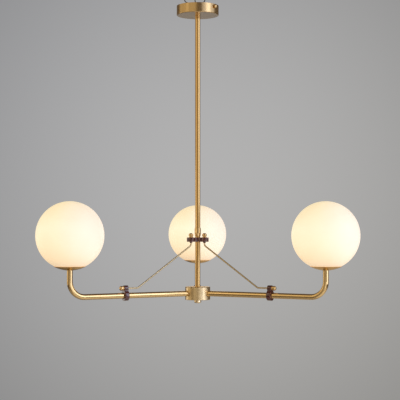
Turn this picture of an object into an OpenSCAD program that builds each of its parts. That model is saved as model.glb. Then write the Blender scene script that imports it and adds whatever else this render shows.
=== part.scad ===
// Three-arm chandelier: stem on a round canopy, opal globes on upturned arms,
// and a brace of three bent tie rods between a trefoil yoke and arm clips.
// Millimetres. The origin is the centre of the ceiling plane, +Z is up,
// and the front is at -Y. Arm 1 points back, arm 2 front left, arm 3 front right.

/* [Overall] */
// Distance from the stem axis to each globe axis
arm_reach = 322.5; // [260:2.5:420]
// Drop from the ceiling to the axis of the arms
arm_drop = 669; // [600:1:900]
// Facets of round forms in the preview
facets = 64; // [32:8:128]

/* [Canopy] */
// Outer diameter of the canopy
canopy_d = 98; // [96:1:140]
// Height of the canopy
canopy_h = 22; // [20:1:40]
// Wall of the canopy
canopy_wall = 1.2; // [0.8:0.1:2]
// Radius of the canopy's lower edge
canopy_edge_r = 1.6; // [0.5:0.1:3]
// Azimuth of the right side screw, the other one is opposite
side_screw_azimuth = -38; // [-60:1:-25]
// Drop from the ceiling to the side screws
side_screw_drop = 6; // [5:0.5:8]
// Diameter of the side screws' shanks
side_screw_d = 3.9; // [3:0.1:5]
// Diameter of the side screws' round heads
side_screw_head_d = 8.5; // [7:0.5:9.5]
// Length of the side screws' heads
side_screw_head_l = 6; // [4:0.5:8]

/* [Ceiling plate] */
// Diameter of the ceiling plate
plate_d = 84; // [78:1:86]
// Thickness of the ceiling plate
plate_t = 2; // [1.5:0.1:3]
// Distance between the two ceiling slots
slot_spacing = 68; // [56:1:68]
// Width of the ceiling slots
slot_w = 4.6; // [4:0.1:5.5]
// End-to-end length of the ceiling slots
slot_l = 12; // [8:0.5:12]
// Width of the ears that the side screws press on
ear_w = 12; // [8:0.5:14]
// Height of the ears below the plate
ear_h = 10; // [8:0.5:12]
// Thickness of the ears
ear_t = 1.6; // [1.2:0.1:2.5]

/* [Stem] */
// Outer diameter of the stem tubes
stem_d = 12; // [11.6:0.2:13]
// Diameter of the threaded nipples
nipple_d = 10; // [9:0.1:10]
// Bore of the threaded nipples
nipple_bore = 7.2; // [6.6:0.1:7.6]
// How far a nipple reaches into a tube
nipple_reach = 18; // [12:1:25]
// Drop from the ceiling to the joint between the stem tubes
joint_drop = 526.5; // [300:0.5:528]
// Length of the coupling sleeve
coupler_l = 19; // [14:0.5:22]
// Wall of the coupling sleeve at its ends
coupler_wall = 0.7; // [0.5:0.1:1.5]
// How much the sleeve swells in the middle
coupler_swell = 0.5; // [0.2:0.1:1]

/* [Brace yoke] */
// Drop from the ceiling to the middle of the yoke
yoke_drop = 544.6; // [544:0.2:560]
// Thickness of the yoke
yoke_t = 10; // [6:0.5:11]
// Distance from the stem axis to the rods in the yoke
yoke_rod_r = 18; // [16:0.5:20]
// Material round each rod in the yoke's lobes
yoke_lobe_wall = 8; // [6:0.25:8.5]
// Material round the stem at the yoke's notches
yoke_waist_wall = 5; // [4:0.25:6]

/* [Tie rods] */
// Diameter of the tie rods
rod_d = 3.5; // [2.5:0.1:4.5]
// Straight length of the rods below the yoke, to the first bend's corner
rod_neck = 8.5; // [7:0.5:14]
// Height of the rods' outer ends above the arm axis
rod_rise = 16.5; // [15:0.5:22]
// Straight length of the rods before the clips, to the second bend's corner
rod_tail = 26; // [15:0.5:50]
// Centre-line radius of the rods' bends
rod_bend_r = 8; // [5:0.5:12]
// Diameter of the collars under the yoke
collar_d = 6.4; // [5:0.2:8]
// Height of the collars under the yoke
collar_h = 2.6; // [1.5:0.1:4]

/* [Arm clips] */
// Distance from the stem axis to the middle of the clips
clip_reach = 187; // [120:1:240]
// Thickness of the clips
clip_t = 10; // [5:0.5:12]
// Material round the arm in the clips
clip_arm_wall = 5; // [4.5:0.25:6.5]
// Material round the rod in the clips
clip_rod_wall = 4.75; // [3.5:0.25:5]
// Radius of the clips' waist
clip_waist_r = 2.4; // [2:0.1:3]

/* [Domed nuts] */
// Diameter of the domed nuts
dome_nut_d = 10.5; // [8:0.25:12]
// Height of the domed nuts
dome_nut_h = 10; // [8:0.25:13]
// Height of the domed nuts' necks
dome_nut_neck_h = 2.8; // [1:0.1:4]
// How much smaller the radius of the necks is than that of the heads
dome_nut_neck_step = 1.1; // [0.4:0.1:1.4]
// Grip of a rod in its domed nut
dome_nut_grip = 6; // [4:0.5:6.5]

/* [Hub] */
// Diameter of the hub
hub_d = 58; // [56:1:70]
// Height of the hub
hub_h = 30; // [28:1:40]
// Wall of the hub
hub_wall = 5; // [4:0.25:6]
// Thickness of the hub's top
hub_top_t = 3; // [2:0.25:4]
// Thickness of the hub's cover
cover_t = 2.5; // [2:0.25:3.5]
// Chamfer of the hub's edges
hub_chamfer = 0.8; // [0.3:0.1:1.5]
// Diameter of the finial
finial_d = 16.5; // [10:0.5:18]
// Height of the finial
finial_h = 8.5; // [6:0.5:14]

/* [Arms] */
// Outer diameter of the arm tubes
arm_d = 13; // [12:0.25:14]
// Centre-line radius of the arms' bends
arm_bend_r = 35; // [25:1:45]

/* [Globes] */
// Outer diameter of the glass globes
globe_d = 150; // [120:1:180]
// Glass thickness
glass_t = 3; // [2:0.25:4]
// Height of the globe centres above the arm axis
globe_rise = 135; // [125:1:170]
// Inner diameter of the globes' threaded mouths
mouth_d = 32; // [30:0.5:36]
// Height of the mouth's inner collar above the mouth's rim
mouth_h = 10; // [7:0.5:14]

/* [Dishes] */
// Diameter of the dishes at their rims
dish_d = 71; // [56:1:90]
// Thickness of the dishes
dish_t = 1; // [0.8:0.1:2]

/* [Lamps] */
// Height of the floor of the globe carriers
carrier_floor = 3; // [2:0.25:4]
// Wall of the threaded collar of the globe carriers
carrier_wall = 1.6; // [1.2:0.1:2.5]
// Height of the threaded collar of the globe carriers
carrier_collar_h = 9; // [6:0.5:12]
// Diameter of the lamp holders
holder_d = 20; // [17:0.5:24]
// Height of the lamp holders
holder_h = 21; // [16:0.5:28]
// Distance between the pins of the bulbs
pin_pitch = 9; // [8:0.25:10]
// Diameter of the pins of the bulbs
pin_d = 1.6; // [1:0.1:2]
// Length of the pins of the bulbs
pin_l = 12; // [8:0.5:14]
// Diameter of the bulbs
bulb_d = 16; // [13:0.5:20]
// Length of the bulbs without their pins
bulb_l = 52; // [40:1:70]

/* [Fits] */
// Radial clearance of threads and close fits
thread_gap = 0.05; // [0.02:0.01:0.1]
// Clearance between pieces that come apart
loose_gap = 0.3; // [0.2:0.05:0.6]
// Clearance of holes that only let something through
pass_gap = 0.35; // [0.2:0.05:0.8]

/* [Hidden] */
ARMS = [1, 2, 3];
$fn = facets;

brass = [0.78, 0.62, 0.33];
bright_brass = [0.86, 0.70, 0.40];
rosewood = [0.26, 0.11, 0.12];
steel = [0.62, 0.62, 0.64];
opal = [0.99, 0.94, 0.82];
ceramic = [0.92, 0.91, 0.88];
dark_lead = [0.12, 0.12, 0.13];

// How far a cut runs past the face that it opens, and how far joined forms lap
past = 1;
lap = 1;

// Radius of a domed end against the radius of its head
dome_ratio = 1.12;

// Width of the ring at a bend's seam, and how far it stands proud of the rod
seam_w = 0.2;
seam_bead = 0.02;

// Radii
stem_r = stem_d / 2;
nipple_r = nipple_d / 2;
thread_r = nipple_r + thread_gap;
nipple_bore_r = nipple_bore / 2;
rod_r = rod_d / 2;
arm_r = arm_d / 2;
globe_r = globe_d / 2;
canopy_r = canopy_d / 2;
canopy_inner_r = canopy_r - canopy_wall;
plate_r = plate_d / 2;
hub_r = hub_d / 2;
side_screw_r = side_screw_d / 2;

// Hexagon nuts on the nipples, and how far a nipple stands out of its nut
nut_flats = 14;
nut_t = 4;
nipple_stub = 2;

// Heights along the stem
stem_top_z = -plate_t - nut_t;
joint_z = -joint_drop;
yoke_z = -yoke_drop;
arm_z = -arm_drop;
hub_top_z = arm_z + hub_h / 2;
hub_bottom_z = arm_z - hub_h / 2;

// Leads, and the splice caps that join them to the arms' cables
lead_d = 2.2;
lead_circle_r = 1.5;
lead_bend_r = 4.5;
lead_sides = 8;
lead_turn_z = arm_z - 4;
splice_r = 8;
splice_l = 11;
splice_d = 7;
cable_r = 2.9;
cable_stub = 3;

// Earth screw
earth_screw_reach = 0.62 * plate_r;
earth_screw_r = 2;
earth_head_r = 3.6;
earth_head_h = 2.4;

// Side screws: the tips press on the ears of the ceiling plate, and the nuts are let into the wall
ear_face_r = plate_r - 0.3;
side_nut_flats = 7;
side_nut_t = 3;
side_nut_inset = 0.2;
side_nut_r = canopy_inner_r - side_nut_inset;

// Set screws
set_screw_r = 1.95;
set_screw_gap = 0.25;

// Yoke: a notch circle touches its two lobes and leaves the waist round the stem
yoke_lobe_r = rod_r + yoke_lobe_wall;
yoke_waist_r = stem_r + yoke_waist_wall;
notch_out = (pow(yoke_rod_r, 2) - pow(yoke_lobe_r - yoke_waist_r, 2))
    / (yoke_rod_r + 2 * (yoke_lobe_r - yoke_waist_r));
notch_r = notch_out - yoke_waist_r;

// Centre line of a tie rod, as distance from the stem axis and height
rod_end_z = arm_z + rod_rise;
ROD_PATH = [
    [yoke_rod_r, yoke_z + yoke_t / 2 + dome_nut_grip],
    [yoke_rod_r, yoke_z - yoke_t / 2 - rod_neck],
    [clip_reach - clip_t / 2 - rod_tail, rod_end_z],
    [clip_reach + clip_t / 2 + dome_nut_grip, rod_end_z]
];

// Arms in the hub: the arm's shoulder and its lock nut seat on flats cut just into the wall
arm_spot_gap = 0.1;
arm_seat_cut = 0.05;
arm_seat_r = sqrt(pow(hub_r, 2) - pow(arm_r + arm_spot_gap, 2)) - arm_seat_cut;
hub_inner_r = hub_r - hub_wall;
nut_pocket_r = nut_flats / sqrt(3) + loose_gap;
nut_seat_cut = 0.4;
nut_seat_r = hub_inner_r + nut_seat_cut;
arm_spigot_end_r = nut_seat_r - nut_t - nipple_stub;

// Hub cover: a step that rests in the hub's wall, and a boss for the finial's stud
cover_r = hub_inner_r + 2;
boss_r = 6;
boss_h = 3;
stud_r = 3;
finial_neck_step = 1;
finial_neck_h = 1.2;

// Margins of the globe seat
foot_margin = 0.25;
pad_rise = 0.7;
pad_margin = 0.5;
mouth_collar_wall = 2.4;
mouth_lip = 0.4;
nipple_inset = 0.5;

// Globe seat, heights measured from the globe's centre
dish_inner_r = globe_r + loose_gap;
dish_outer_r = dish_inner_r + dish_t;
dish_rim_r = dish_d / 2;
dish_rim_z = -sqrt(pow(dish_outer_r, 2) - pow(dish_rim_r, 2));
dish_foot_z = -sqrt(pow(dish_outer_r, 2) - pow(arm_r + foot_margin, 2));
dish_pad_r = 12;
dish_pad_z = dish_foot_z + dish_t + pad_rise;
mouth_r = mouth_d / 2;
mouth_collar_r = mouth_r + mouth_collar_wall;
mouth_z = -sqrt(pow(globe_r, 2) - pow(mouth_collar_r - mouth_lip, 2));
carrier_r = mouth_r - loose_gap;
carrier_base_r = dish_pad_r - pad_margin;
holder_z = dish_pad_z + carrier_floor;
holder_neck_d = holder_d - 3;
holder_step_h = 0.6 * holder_h;
bulb_z = holder_z + holder_h + loose_gap;
bulb_base_l = 14;
groove_depth = 0.6;
groove_h = 1.2;
top_nipple_z = dish_pad_z + carrier_floor - nipple_inset;
globe_z = arm_z + globe_rise;

// Centre line of an arm, as distance from the stem axis and height
ARM_PATH = [
    [arm_seat_r, arm_z],
    [arm_reach, arm_z],
    [arm_reach, globe_z + dish_foot_z]
];

// Routes of the three supply leads above the ceiling plane
LEAD_ROUTES = [
    [[-1.3, 0.75, 0], [-1.3, 0.75, 2.5], [-2, 0.9, 4.6], [-4, 1.2, 6.2], [-7.5, 1.6, 7.1],
     [-12, 2, 7.5], [-17, 2.3, 7.7], [-22, 2.5, 8.1], [-26.3, 2.6, 9.3], [-29.2, 2.6, 11.6],
     [-30.6, 2.6, 15], [-31, 2.6, 20], [-31, 2.6, 27], [-30.8, 2.6, 35], [-30.5, 2.6, 44]],
    [[0, -1.5, 0], [0, -1.5, 2.5], [-0.9, -1.7, 4.8], [-3, -2, 6.8], [-5, -2.3, 8.9],
     [-6.1, -2.6, 11.5], [-6.4, -2.8, 15], [-6.5, -3, 20], [-6.5, -3.2, 26],
     [-6.4, -3.3, 34], [-6.2, -3.4, 43], [-6, -3.4, 52]],
    [[1.3, 0.75, 0], [1.3, 0.75, 2.5], [2.2, 0.9, 4.8], [4.6, 1.3, 6.6], [8, 2, 7.6],
     [11.8, 2.5, 8.7], [14.8, 2.8, 10.7], [16.4, 3, 13.6], [17, 3.1, 17.5], [17.2, 3.2, 23],
     [17.4, 3.2, 30], [17.5, 3.2, 38], [17.6, 3.2, 46]]
];

// Azimuth of an arm: 1 points back, then 120 degrees apart
function arm_azimuth(i) = 90 + 120 * (i - 1);

function polar(r, a) = [r * cos(a), r * sin(a)];
function unit(v) = v / norm(v);
function heading(a, b) = atan2(b[1] - a[1], b[0] - a[0]);

// Signed turn at a corner, between -180 and 180 degrees
function turn(a, b, c) =
    let (t = heading(b, c) - heading(a, b))
    t > 180 ? t - 360 : t < -180 ? t + 360 : t;

// Length that a bend takes from each straight at its corner
function bend_length(path, k, bend_r) =
    (k <= 0 || k >= len(path) - 1) ? 0
    : bend_r * tan(abs(turn(path[k - 1], path[k], path[k + 1])) / 2);

// Rod along a flat path in the XY plane, with round bends at its inner corners.
// Each stretch is drawn in the frame that the one before it ends in.
module bent_rod(path, r, bend_r) {
    translate(path[0])
        rotate([0, 0, heading(path[0], path[1])])
            rod_stretch(path, 0, r, bend_r);
}

module rod_stretch(path, k, r, bend_r) {
    run = norm(path[k + 1] - path[k]) - bend_length(path, k, bend_r)
        - bend_length(path, k + 1, bend_r);
    rotate([0, 90, 0])
        cylinder(r = r, h = run);
    if (k < len(path) - 2) {
        t = turn(path[k], path[k + 1], path[k + 2]);
        side = t > 0 ? 1 : -1;
        translate([run, 0, 0])
            seam(r, t);
        translate([run, side * bend_r, 0]) {
            rotate([0, 0, t > 0 ? -90 : 90 + t])
                rotate_extrude(angle = abs(t))
                    translate([bend_r, 0])
                        circle(r = r);
            rotate([0, 0, t])
                translate([0, -side * bend_r, 0]) {
                    seam(r, t);
                    rod_stretch(path, k + 1, r, bend_r);
                }
        }
    }
}

// Hair-thin ring that welds a stretch to its bend, where the bend isn't square
module seam(r, t) {
    if (abs(t) != 90)
        translate([-seam_w / 2, 0, 0])
            rotate([0, 90, 0])
                cylinder(r = r + seam_bead, h = seam_w);
}

// The same path with its two ends made longer
function stretched(path, more) =
    let (last = len(path) - 1)
    [for (k = [0 : last])
        k == 0 ? path[0] - unit(path[1] - path[0]) * more
        : k == last ? path[last] + unit(path[last] - path[last - 1]) * more
        : path[k]];

// Stands a drawing in the XY plane up, so that its X runs outwards along an azimuth
module radial(azimuth) {
    rotate([0, 0, azimuth])
        rotate([90, 0, 0])
            children();
}

module tube(outer_r, inner_r, low, high) {
    translate([0, 0, low])
        difference() {
            cylinder(r = outer_r, h = high - low);
            translate([0, 0, -past])
                cylinder(r = inner_r, h = high - low + 2 * past);
        }
}

module hex_nut(flats, bore_r, t) {
    difference() {
        cylinder(r = flats / sqrt(3), h = t, $fn = 6);
        translate([0, 0, -past])
            cylinder(r = bore_r, h = t + 2 * past);
    }
}

// Half section of a turned head with a domed end, standing on y = 0
module domed_section(r, h) {
    dome_r = dome_ratio * r;
    intersection() {
        square([r, h]);
        translate([0, h - dome_r])
            union() {
                circle(r = dome_r);
                translate([0, -h])
                    square([dome_r, h]);
            }
    }
}

// The same head on a narrower neck
module necked_section(r, h, neck_r, neck_h) {
    square([neck_r, neck_h + lap]);
    translate([0, neck_h])
        domed_section(r, h - neck_h);
}

// Nut with a neck, a domed end and a blind thread, standing on z = 0
module domed_nut() {
    head_r = dome_nut_d / 2;
    difference() {
        rotate_extrude()
            necked_section(head_r, dome_nut_h, head_r - dome_nut_neck_step, dome_nut_neck_h);
        translate([0, 0, -past])
            cylinder(r = rod_r + thread_gap, h = dome_nut_grip + loose_gap + past);
    }
}

// Tube with a ring of sides at each point of a route in space
module swept_lead(route, r, sides) {
    last = len(route) - 1;
    ring_normal = function (k) unit(route[min(k + 1, last)] - route[max(k - 1, 0)]);
    points = [
        for (k = [0 : last])
            let (n = (k == 0) ? [0, 0, 1] : ring_normal(k),
                 u = unit(cross([0, 1, 0], n)),
                 v = cross(n, u))
            for (s = [0 : sides - 1])
                route[k] + r * (u * cos(360 * s / sides) + v * sin(360 * s / sides))
    ];
    walls = [
        for (k = [0 : last - 1], s = [0 : sides - 1])
            let (a = k * sides + s, b = k * sides + (s + 1) % sides)
            each [[a, b + sides, b], [a, a + sides, b + sides]]
    ];
    low_end = [for (s = [0 : sides - 1]) s];
    high_end = [for (s = [sides - 1 : -1 : 0]) last * sides + s];
    polyhedron(points = points, faces = concat([low_end], walls, [high_end]));
}

// ---- Ceiling plate and canopy ----

module mounting_plate() {
    color(steel)
        difference() {
            union() {
                translate([0, 0, -plate_t])
                    cylinder(r = plate_r, h = plate_t);
                for (a = [0, 180])
                    rotate([0, 0, side_screw_azimuth + a])
                        translate([ear_face_r - ear_t, -ear_w / 2, -plate_t - ear_h])
                            cube([ear_t, ear_w, ear_h + plate_t / 2]);
            }
            translate([0, 0, -plate_t - past])
                cylinder(r = thread_r, h = plate_t + 2 * past);
            for (side = [-1, 1])
                translate([side * slot_spacing / 2, 0, 0])
                    ceiling_slot();
            translate([0, -earth_screw_reach, -plate_t - past])
                cylinder(r = earth_screw_r + thread_gap, h = plate_t + 2 * past);
        }
}

module ceiling_slot() {
    run = slot_l - slot_w;
    translate([0, 0, -plate_t - past]) {
        translate([-run / 2, -slot_w / 2, 0])
            cube([run, slot_w, plate_t + 2 * past]);
        for (end = [-1, 1])
            translate([end * run / 2, 0, 0])
                cylinder(d = slot_w, h = plate_t + 2 * past);
    }
}

module hanger_nipple() {
    color(steel)
        tube(nipple_r, nipple_bore_r, stem_top_z - nipple_reach, 0);
}

module hanger_nut() {
    color(steel)
        translate([0, 0, stem_top_z])
            hex_nut(nut_flats, thread_r, nut_t);
}

module earth_screw() {
    color(bright_brass)
        translate([0, -earth_screw_reach, -plate_t]) {
            translate([0, 0, -earth_head_h])
                cylinder(r = earth_head_r, h = earth_head_h);
            translate([0, 0, -lap])
                cylinder(r = earth_screw_r, h = lap + plate_t - loose_gap);
        }
}

module canopy() {
    color(brass)
        difference() {
            translate([0, 0, -canopy_h])
                rotate_extrude()
                    difference() {
                        rounded_disc(canopy_r, canopy_h, canopy_edge_r);
                        translate([0, canopy_wall])
                            square([canopy_inner_r, canopy_h]);
                    }
            translate([0, 0, -canopy_h - past])
                cylinder(r = stem_r + pass_gap, h = canopy_wall + 2 * past);
            for (a = [0, 180])
                rotate([0, 0, side_screw_azimuth + a])
                    translate([canopy_inner_r - past, 0, -side_screw_drop])
                        rotate([0, 90, 0])
                            cylinder(r = side_screw_r + pass_gap, h = canopy_wall + 2 * past);
        }
}

// Half section of a disc whose lower outer edge is rounded
module rounded_disc(r, h, edge_r) {
    square([r - edge_r, h]);
    translate([0, edge_r])
        square([r, h - edge_r]);
    translate([r - edge_r, edge_r])
        circle(r = edge_r);
}

module side_screw(azimuth) {
    tip_r = ear_face_r + loose_gap;
    seat_r = canopy_r + loose_gap;
    color(bright_brass)
        rotate([0, 0, azimuth])
            translate([0, 0, -side_screw_drop])
                rotate([0, 90, 0]) {
                    translate([0, 0, tip_r])
                        cylinder(r = side_screw_r, h = seat_r - tip_r + lap);
                    translate([0, 0, seat_r])
                        rotate_extrude()
                            domed_section(side_screw_head_d / 2, side_screw_head_l);
                }
}

module canopy_screw_nuts() {
    color(steel)
        for (a = [0, 180])
            rotate([0, 0, side_screw_azimuth + a])
                translate([side_nut_r - side_nut_t, 0, -side_screw_drop])
                    rotate([0, 90, 0])
                        hex_nut(side_nut_flats, side_screw_r + thread_gap, side_nut_t);
}

module supply_lead(i) {
    color(dark_lead)
        swept_lead(LEAD_ROUTES[i - 1], lead_d / 2, lead_sides);
}

// ---- Stem ----

module upper_stem() {
    color(brass)
        tube(stem_r, thread_r, joint_z, stem_top_z);
}

module lower_stem() {
    color(brass)
        tube(stem_r, thread_r, hub_top_z, joint_z);
}

module coupler_nipple() {
    color(steel)
        tube(nipple_r, nipple_bore_r, joint_z - nipple_reach, joint_z + nipple_reach);
}

module stem_coupler() {
    end_r = stem_r + thread_gap + coupler_wall;
    arc_r = (pow(coupler_l / 2, 2) + pow(coupler_swell, 2)) / (2 * coupler_swell);
    color(bright_brass)
        translate([0, 0, joint_z])
            rotate_extrude()
                intersection() {
                    translate([end_r + coupler_swell - arc_r, 0])
                        circle(r = arc_r, $fn = 4 * facets);
                    translate([stem_r + thread_gap, -coupler_l / 2])
                        square([coupler_wall + 2 * coupler_swell, coupler_l]);
                }
}

// Three leads down the stem, each turned out in the hub towards its splice cap
module stem_leads() {
    path = [[lead_circle_r, 0], [lead_circle_r, lead_turn_z], [splice_r, lead_turn_z]];
    color(dark_lead)
        for (i = ARMS)
            radial(arm_azimuth(i) + 60)
                bent_rod(path, lead_d / 2, lead_bend_r);
}

module splice_caps() {
    color(ceramic)
        for (i = ARMS)
            rotate([0, 0, arm_azimuth(i) + 60])
                translate([splice_r, 0, lead_turn_z])
                    rotate([0, 90, 0]) {
                        cylinder(d = splice_d, h = splice_l - splice_d / 2);
                        translate([0, 0, splice_l - splice_d / 2])
                            sphere(d = splice_d);
                    }
}

// ---- Brace ----

// Where a notch circle touches the lobe on its left or right
function notch_touch(lobe_azimuth, side) =
    let (lobe = polar(yoke_rod_r, lobe_azimuth),
         notch = polar(notch_out, lobe_azimuth + 60 * side))
    lobe + unit(notch - lobe) * yoke_lobe_r;

module trefoil() {
    difference() {
        union() {
            polygon([
                for (i = ARMS)
                    each [notch_touch(arm_azimuth(i), -1),
                          polar(yoke_rod_r, arm_azimuth(i)),
                          notch_touch(arm_azimuth(i), 1),
                          polar(notch_out, arm_azimuth(i) + 60)]
            ]);
            for (i = ARMS)
                translate(polar(yoke_rod_r, arm_azimuth(i)))
                    circle(r = yoke_lobe_r);
        }
        for (i = ARMS)
            translate(polar(notch_out, arm_azimuth(i) + 60))
                circle(r = notch_r);
    }
}

module tie_yoke() {
    color(rosewood)
        difference() {
            translate([0, 0, yoke_z - yoke_t / 2])
                linear_extrude(height = yoke_t)
                    trefoil();
            translate([0, 0, yoke_z - yoke_t / 2 - past])
                cylinder(r = stem_r + thread_gap, h = yoke_t + 2 * past);
            for (i = ARMS)
                translate(concat(polar(yoke_rod_r, arm_azimuth(i)), yoke_z - yoke_t / 2 - past))
                    cylinder(r = rod_r + thread_gap, h = yoke_t + 2 * past);
            rotate([0, 0, arm_azimuth(1) - 60])
                translate([stem_r, 0, yoke_z])
                    rotate([0, 90, 0])
                        cylinder(r = set_screw_r + thread_gap, h = yoke_waist_wall + past);
        }
}

module yoke_set_screw() {
    color(steel)
        rotate([0, 0, arm_azimuth(1) - 60])
            translate([stem_r + set_screw_gap, 0, yoke_z])
                rotate([0, 90, 0])
                    cylinder(r = set_screw_r, h = yoke_waist_wall - 2 * set_screw_gap);
}

module yoke_nuts() {
    color(bright_brass)
        for (i = ARMS)
            translate(concat(polar(yoke_rod_r, arm_azimuth(i)), yoke_z + yoke_t / 2))
                domed_nut();
}

module rod_collars() {
    color(rosewood)
        for (i = ARMS)
            translate(polar(yoke_rod_r, arm_azimuth(i)))
                tube(collar_d / 2, rod_r + thread_gap,
                     yoke_z - yoke_t / 2 - collar_h, yoke_z - yoke_t / 2);
}

module tie_rod(i) {
    color(brass)
        radial(arm_azimuth(i))
            bent_rod(ROD_PATH, rod_r, rod_bend_r);
}

// Peanut outline: a lobe round the arm, a lobe round the rod, and a round waist
module peanut() {
    big_r = arm_r + clip_arm_wall;
    small_r = rod_r + clip_rod_wall;
    to_big = big_r + clip_waist_r;
    to_small = small_r + clip_waist_r;
    waist_y = (pow(rod_rise, 2) + pow(to_big, 2) - pow(to_small, 2)) / (2 * rod_rise);
    waist_x = sqrt(pow(to_big, 2) - pow(waist_y, 2));
    big_touch = [waist_x, waist_y] * big_r / to_big;
    small_touch = [0, rod_rise] + ([waist_x, waist_y] - [0, rod_rise]) * small_r / to_small;
    difference() {
        union() {
            circle(r = big_r);
            translate([0, rod_rise])
                circle(r = small_r);
            polygon([
                [0, 0], big_touch, [waist_x, waist_y], small_touch, [0, rod_rise],
                [-small_touch[0], small_touch[1]], [-waist_x, waist_y],
                [-big_touch[0], big_touch[1]]
            ]);
        }
        for (side = [-1, 1])
            translate([side * waist_x, waist_y])
                circle(r = clip_waist_r);
        circle(r = arm_r + thread_gap);
        translate([0, rod_rise])
            circle(r = rod_r + thread_gap);
    }
}

module arm_clip(i) {
    color(rosewood)
        difference() {
            rotate([0, 0, arm_azimuth(i)])
                translate([clip_reach - clip_t / 2, 0, arm_z])
                    rotate([90, 0, 90])
                        linear_extrude(height = clip_t)
                            peanut();
            rotate([0, 0, arm_azimuth(i)])
                translate([clip_reach, 0, arm_z - arm_r - clip_arm_wall - past])
                    cylinder(r = set_screw_r + thread_gap, h = clip_arm_wall + 2 * past);
        }
}

module clip_nuts() {
    color(bright_brass)
        for (i = ARMS)
            rotate([0, 0, arm_azimuth(i)])
                translate([clip_reach + clip_t / 2, 0, rod_end_z])
                    rotate([0, 90, 0])
                        domed_nut();
}

module clip_set_screws() {
    color(steel)
        for (i = ARMS)
            rotate([0, 0, arm_azimuth(i)])
                translate([clip_reach, 0, arm_z - arm_r - clip_arm_wall + set_screw_gap])
                    cylinder(r = set_screw_r, h = clip_arm_wall - 2 * set_screw_gap);
}

// ---- Hub ----

module hub_body() {
    color(brass)
        difference() {
            translate([0, 0, hub_bottom_z])
                rotate_extrude()
                    hub_section();
            translate([0, 0, hub_top_z - hub_top_t - past])
                cylinder(r = thread_r, h = hub_top_t + 2 * past);
            for (i = ARMS)
                rotate([0, 0, arm_azimuth(i)])
                    translate([0, 0, arm_z])
                        rotate([0, 90, 0])
                            arm_socket();
        }
}

// Half section of the hub's cup, open below, with a step for the cover
module hub_section() {
    difference() {
        polygon([
            [0, 0], [hub_r - hub_chamfer, 0], [hub_r, hub_chamfer],
            [hub_r, hub_h - hub_chamfer], [hub_r - hub_chamfer, hub_h], [0, hub_h]
        ]);
        translate([0, -past])
            square([cover_r + thread_gap, cover_t + past]);
        square([hub_inner_r, hub_h - hub_top_t]);
    }
}

// Through hole for an arm's nipple, with a flat outside for the arm and one inside for the nut
module arm_socket() {
    translate([0, 0, hub_inner_r - past])
        cylinder(r = thread_r, h = hub_wall + 2 * past);
    translate([0, 0, arm_seat_r])
        cylinder(r = arm_r + arm_spot_gap, h = hub_wall);
    translate([0, 0, hub_inner_r / 2])
        cylinder(r = nut_pocket_r, h = nut_seat_r - hub_inner_r / 2);
}

module hub_cover() {
    color(brass)
        difference() {
            union() {
                translate([0, 0, hub_bottom_z])
                    cylinder(r = cover_r, h = cover_t);
                translate([0, 0, hub_bottom_z + cover_t / 2])
                    cylinder(r = boss_r, h = cover_t / 2 + boss_h);
            }
            translate([0, 0, hub_bottom_z - past])
                cylinder(r = stud_r + thread_gap, h = cover_t + boss_h + 2 * past);
        }
}

// Turned knob with a short threaded stud
module finial() {
    head_r = finial_d / 2;
    color(bright_brass)
        translate([0, 0, hub_bottom_z]) {
            translate([0, 0, -lap])
                cylinder(r = stud_r, h = cover_t + boss_h);
            mirror([0, 0, 1])
                rotate_extrude()
                    necked_section(head_r, finial_h, head_r - finial_neck_step, finial_neck_h);
        }
}

module hub_nipple() {
    color(steel)
        tube(nipple_r, nipple_bore_r,
             hub_top_z - hub_top_t - nut_t - nipple_stub, hub_top_z + nipple_reach);
}

module hub_lock_nut() {
    color(steel)
        translate([0, 0, hub_top_z - hub_top_t - nut_t])
            hex_nut(nut_flats, thread_r, nut_t);
}

module arm_lock_nuts() {
    color(steel)
        for (i = ARMS)
            rotate([0, 0, arm_azimuth(i)])
                translate([nut_seat_r - nut_t, 0, arm_z])
                    rotate([0, 90, 0])
                        hex_nut(nut_flats, thread_r, nut_t);
}

module arm_root_nipples() {
    color(steel)
        for (i = ARMS)
            rotate([0, 0, arm_azimuth(i)])
                translate([0, 0, arm_z])
                    rotate([0, 90, 0])
                        tube(nipple_r, nipple_bore_r, arm_spigot_end_r, arm_seat_r + nipple_reach);
}

module arm_top_nipples() {
    color(steel)
        for (i = ARMS)
            translate(concat(polar(arm_reach, arm_azimuth(i)), globe_z))
                tube(nipple_r, nipple_bore_r, dish_foot_z - nipple_reach, top_nipple_z);
}

// ---- Arms ----

module arm_tube(i) {
    color(brass)
        radial(arm_azimuth(i))
            difference() {
                bent_rod(ARM_PATH, arm_r, arm_bend_r);
                bent_rod(stretched(ARM_PATH, past), thread_r, arm_bend_r);
            }
}

module lamp_cable(i) {
    path = [
        [arm_spigot_end_r - cable_stub, arm_z],
        [arm_reach, arm_z],
        [arm_reach, globe_z + holder_z]
    ];
    color(dark_lead)
        radial(arm_azimuth(i))
            bent_rod(path, cable_r, arm_bend_r);
}

// ---- Globe seats and lamps, drawn round the globe's centre ----

module at_globe(i) {
    translate(concat(polar(arm_reach, arm_azimuth(i)), globe_z))
        rotate([0, 0, arm_azimuth(i)])
            children();
}

module dish(i) {
    color(brass)
        at_globe(i)
            difference() {
                rotate_extrude()
                    difference() {
                        intersection() {
                            circle(r = dish_outer_r, $fn = 4 * facets);
                            translate([0, dish_foot_z])
                                square([dish_rim_r, dish_rim_z - dish_foot_z]);
                        }
                        difference() {
                            circle(r = dish_inner_r, $fn = 4 * facets);
                            translate([0, -dish_outer_r])
                                square([dish_pad_r, dish_outer_r + dish_pad_z]);
                        }
                    }
                translate([0, 0, -dish_outer_r - past])
                    cylinder(r = thread_r, h = dish_outer_r);
            }
}

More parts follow.
